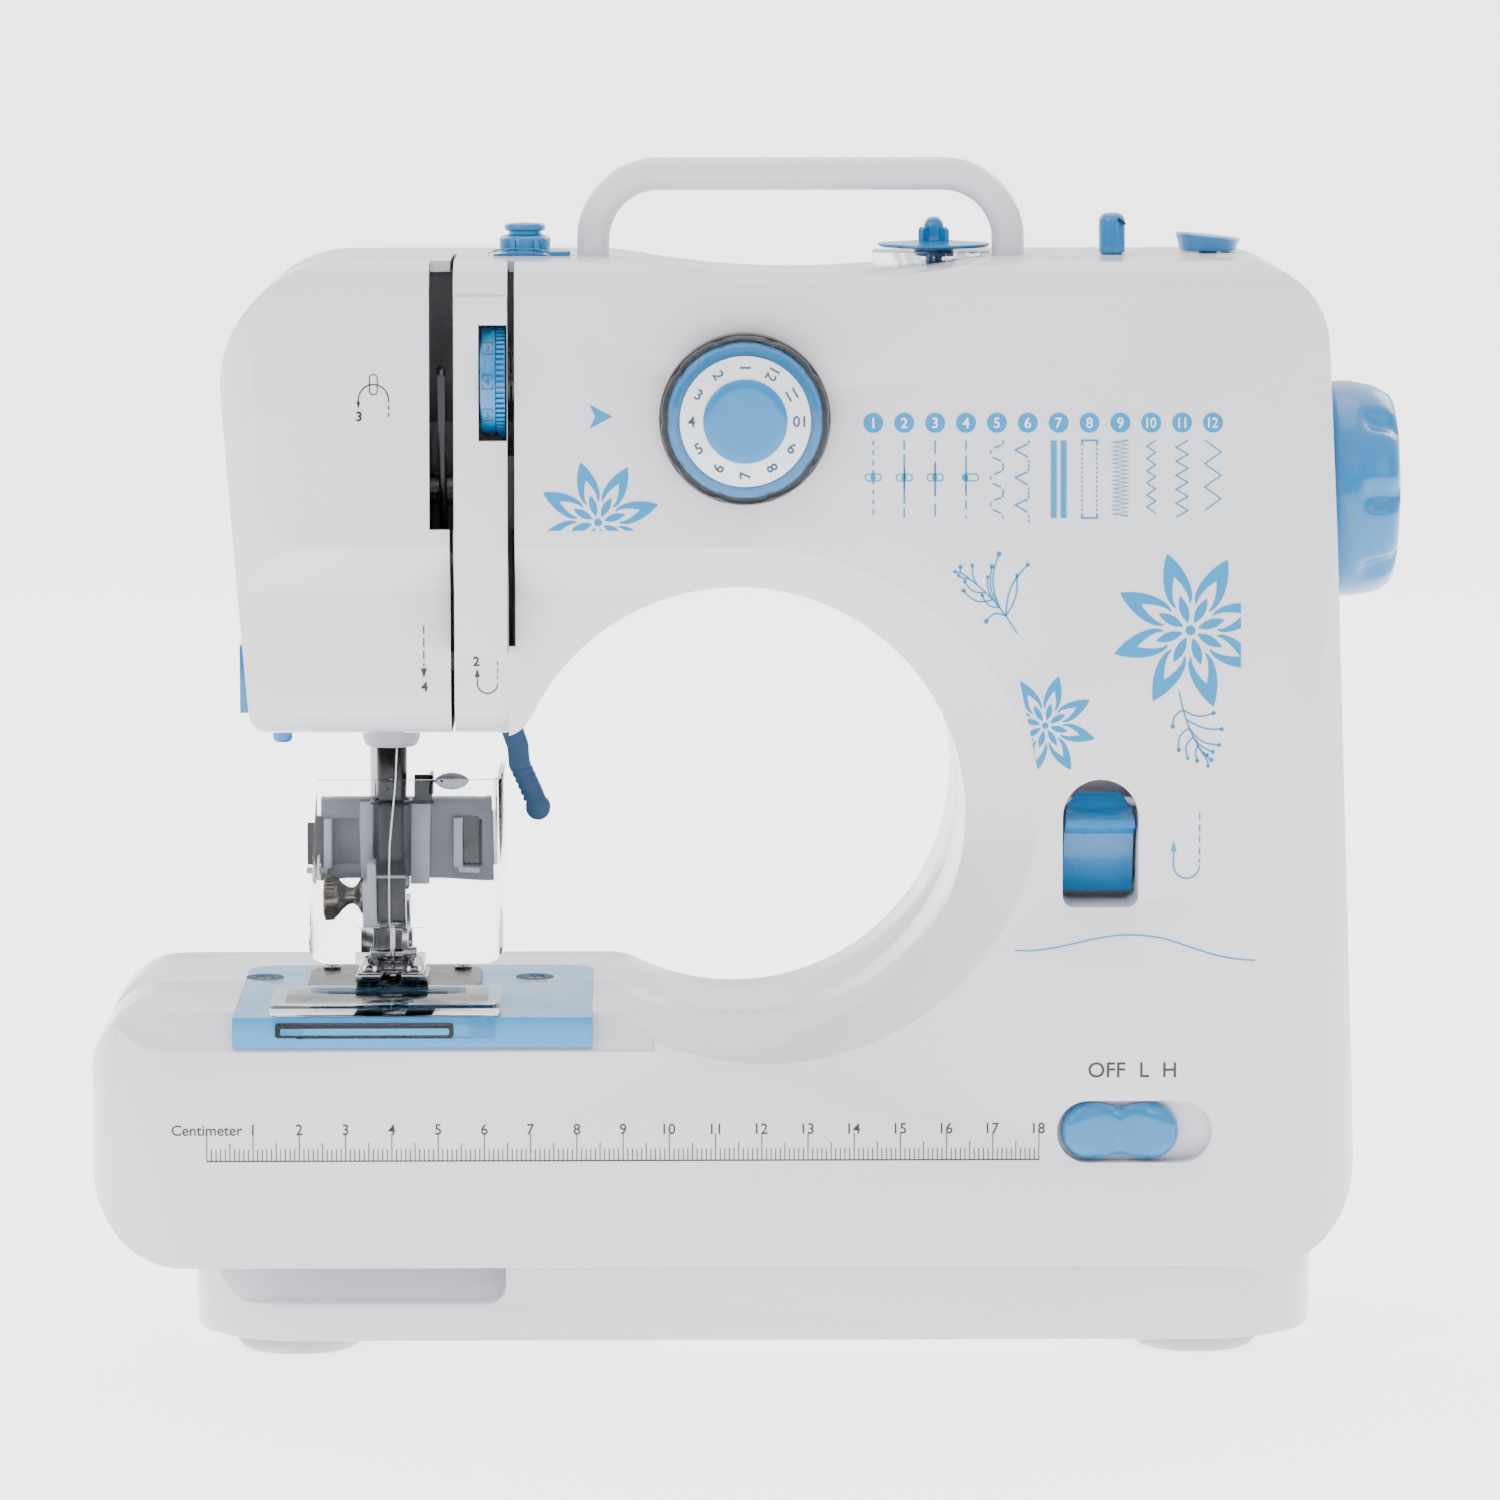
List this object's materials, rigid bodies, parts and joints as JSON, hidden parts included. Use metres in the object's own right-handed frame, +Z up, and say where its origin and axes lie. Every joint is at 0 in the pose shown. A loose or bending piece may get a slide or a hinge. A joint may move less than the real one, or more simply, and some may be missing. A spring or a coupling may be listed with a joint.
{
  "type": "sewing machine",
  "caption": "Small white and blue electric sewing machine with free arm, stitch dial, guard, handle and handwheel.",
  "frame": {"origin": "centre of the bounding box's bottom face, under the feet", "axes": "+X towards the handwheel, along the machine's length; +Y towards the back, the user sits at -Y; +Z up"},
  "size_m": [0.2864, 0.0974, 0.2583],
  "materials": {
    "white_plastic": "gloss white moulding",
    "blue_plastic": "gloss blue moulding",
    "blue_deck": "gloss light blue moulding",
    "blue_dark": "gloss dark blue moulding",
    "black_plastic": "satin black moulding",
    "grey_plastic": "satin grey moulding",
    "clear_plastic": "clear polished moulding",
    "rubber": "matt grey rubber",
    "belt_rubber": "matt black rubber",
    "cast_metal": "painted grey casting",
    "brushed_metal": "machined bearing metal",
    "steel": "ground steel",
    "spring_steel": "drawn wire",
    "dark_metal": "dark polished steel",
    "chrome": "bright plating",
    "board_green": "green board"
  },
  "bodies": {
    "machine": {"front_cover": "white_plastic", "rear_cover": "white_plastic", "face_cover": "white_plastic", "base_tray": "white_plastic", "handle": "white_plastic", "feet": "rubber", "battery_box": "grey_plastic", "battery_contacts": "spring_steel", "main_frame": "cast_metal", "bushings": "brushed_metal", "drive_belt": "belt_rubber", "timing_belt": "belt_rubber", "motor": "steel", "hook_race": "dark_metal", "deck_plate": "blue_deck", "needle_plate": "dark_metal", "deck_screws": "steel", "presser_spring": "spring_steel", "tension_unit": "steel", "thread_cutter": "blue_plastic", "dial_bezel": "black_plastic", "lamp_lens": "clear_plastic", "circuit_board": "board_green", "power_jack": "black_plastic", "pedal_jack": "black_plastic", "guide_base": "blue_plastic", "guide_knob": "blue_plastic", "winder_plate": "clear_plastic", "case_screws": "steel"},
    "drive": {"handwheel": "blue_plastic", "main_shaft": "steel", "shaft_pulleys": "grey_plastic"},
    "motor_rotor": {"motor_pulley": "steel"},
    "lower_drive": {"lower_shaft": "steel"},
    "hook_spindle": {"hook": "dark_metal"},
    "bobbin_body": {"bobbin": "clear_plastic"},
    "needle_group": {"needle_bar": "chrome", "needle_clamp": "dark_metal", "clamp_screw": "chrome", "needle": "chrome"},
    "presser_group": {"presser_bar": "chrome", "presser_foot": "chrome", "guard_bracket": "grey_plastic", "guard": "clear_plastic", "wing_screw": "chrome"},
    "presser_lever_body": {"presser_lever": "blue_dark"},
    "feed": {"feed_dog": "dark_metal"},
    "takeup": {"takeup_lever": "chrome"},
    "tension_dial": {"tension_wheel": "blue_plastic"},
    "stitch_dial": {"dial_skirt": "clear_plastic", "dial_ring": "white_plastic", "dial_cap": "blue_plastic"},
    "reverse": {"reverse_lever": "blue_plastic"},
    "speed": {"speed_slider": "blue_plastic"},
    "lamp_switch": {"lamp_button": "blue_plastic"},
    "spool": {"spool_pin": "blue_plastic"},
    "winder": {"winder_spindle": "blue_plastic"},
    "winder_stop_body": {"winder_stop": "blue_plastic"},
    "bobbin_lid": {"bobbin_cover": "clear_plastic"},
    "battery_door": {"battery_cover": "white_plastic"}
  },
  "joints": [
    {"name": "handwheel_spin", "type": "hinge", "parent": "machine", "child": "drive", "pos_m": [0, 0, 0.1853], "axis": [1, 0, 0], "continuous": true},
    {"name": "motor_spin", "type": "hinge", "parent": "machine", "child": "motor_rotor", "pos_m": [0, 0.027, 0.082], "axis": [1, 0, 0], "continuous": true},
    {"name": "lower_spin", "type": "hinge", "parent": "machine", "child": "lower_drive", "pos_m": [0, 0, 0.046], "axis": [1, 0, 0], "continuous": true},
    {"name": "hook_spin", "type": "hinge", "parent": "machine", "child": "hook_spindle", "pos_m": [-0.0781, -0.028, 0], "axis": [0, 0, 1], "continuous": true},
    {"name": "bobbin_spin", "type": "hinge", "parent": "machine", "child": "bobbin_body", "pos_m": [-0.0781, -0.028, 0], "axis": [0, 0, 1], "continuous": true},
    {"name": "needle_stroke", "type": "slide", "parent": "machine", "child": "needle_group", "axis": [0, 0, 1], "range_m": [-0.006, 0.011]},
    {"name": "presser_lift", "type": "slide", "parent": "machine", "child": "presser_group", "axis": [0, 0, 1], "range_m": [0, 0.006], "deforming": ["presser_spring"]},
    {"name": "presser_lever_turn", "type": "hinge", "parent": "machine", "child": "presser_lever_body", "pos_m": [-0.056, 0.02, 0.141], "axis": [0, -1, 0], "range_deg": [0, 45]},
    {"name": "feed_travel", "type": "slide", "parent": "machine", "child": "feed", "axis": [0, 1, 0], "range_m": [-0.002, 0.002]},
    {"name": "takeup_swing", "type": "hinge", "parent": "machine", "child": "takeup", "pos_m": [0, -0.022, 0.172], "axis": [1, 0, 0], "range_deg": [-10, 10]},
    {"name": "tension_turn", "type": "hinge", "parent": "machine", "child": "tension_dial", "pos_m": [0, -0.0302, 0.2115], "axis": [1, 0, 0], "range_deg": [-130, 130]},
    {"name": "stitch_turn", "type": "hinge", "parent": "machine", "child": "stitch_dial", "pos_m": [-0.0007, 0, 0.2039], "axis": [0, -1, 0], "continuous": true},
    {"name": "reverse_press", "type": "hinge", "parent": "machine", "child": "reverse", "pos_m": [0, -0.0365, 0.1204], "axis": [1, 0, 0], "range_deg": [0, 12], "stiffness_Nm_per_rad": 0.05, "springref_deg": -17.19},
    {"name": "speed_slide", "type": "slide", "parent": "machine", "child": "speed", "axis": [1, 0, 0], "range_m": [0, 0.0064]},
    {"name": "lamp_press", "type": "slide", "parent": "machine", "child": "lamp_switch", "axis": [0, 0, 1], "range_m": [0, 0.0015], "stiffness_N_per_m": 200, "springref_m": -0.002},
    {"name": "spool_lift", "type": "slide", "parent": "machine", "child": "spool", "axis": [0, 0, 1], "range_m": [0, 0.03]},
    {"name": "winder_spin", "type": "hinge", "parent": "machine", "child": "winder", "pos_m": [0.0416, 0.005, 0], "axis": [0, 0, 1], "continuous": true},
    {"name": "stop_turn", "type": "hinge", "parent": "machine", "child": "winder_stop_body", "pos_m": [0.1025, 0.01, 0], "axis": [0, 0, 1], "range_deg": [-45, 45]},
    {"name": "lid_slide", "type": "slide", "parent": "machine", "child": "bobbin_lid", "axis": [0, -1, 0], "range_m": [0, 0.03]},
    {"name": "battery_door_drop", "type": "slide", "parent": "machine", "child": "battery_door", "axis": [0, 0, -1], "range_m": [0, 0.012]}
  ],
  "couplings": [
    {"joint": "motor_spin", "follows": "handwheel_spin", "ratio": 3.8},
    {"joint": "lower_spin", "follows": "handwheel_spin", "ratio": 1},
    {"joint": "hook_spin", "follows": "handwheel_spin", "ratio": 1},
    {"joint": "presser_lever_turn", "follows": "presser_lift", "rad_per_m": 130.9}
  ]
}
